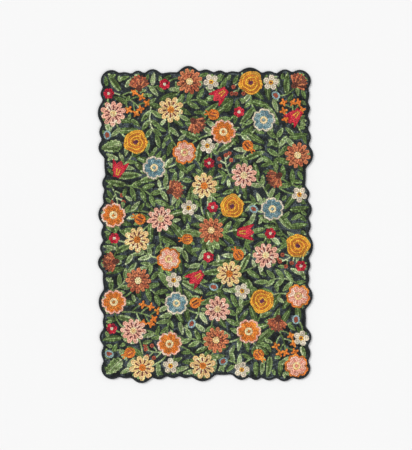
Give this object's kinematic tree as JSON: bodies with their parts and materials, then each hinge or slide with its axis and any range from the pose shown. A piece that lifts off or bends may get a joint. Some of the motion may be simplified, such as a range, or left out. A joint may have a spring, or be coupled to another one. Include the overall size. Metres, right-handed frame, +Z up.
{
  "type": "hooked rug",
  "caption": "Flat hooked rug with a level loop pile, an all-over flower and leaf pattern and a whipped, lobed edge.",
  "frame": {"origin": "on the floor, under the middle of the rug's outline box", "axes": "+Z up out of the pile, +Y along the rug's length, +X across its width"},
  "size_m": [0.621, 0.914, 0.01],
  "materials": {
    "hooked_pile": "matt wool yarn in level hooked loops",
    "whipped_yarn": "matt dark wool yarn whipped over the edge"
  },
  "bodies": {
    "root": {"hooked_field": "hooked_pile", "edge_binding": "whipped_yarn"}
  },
  "joints": []
}
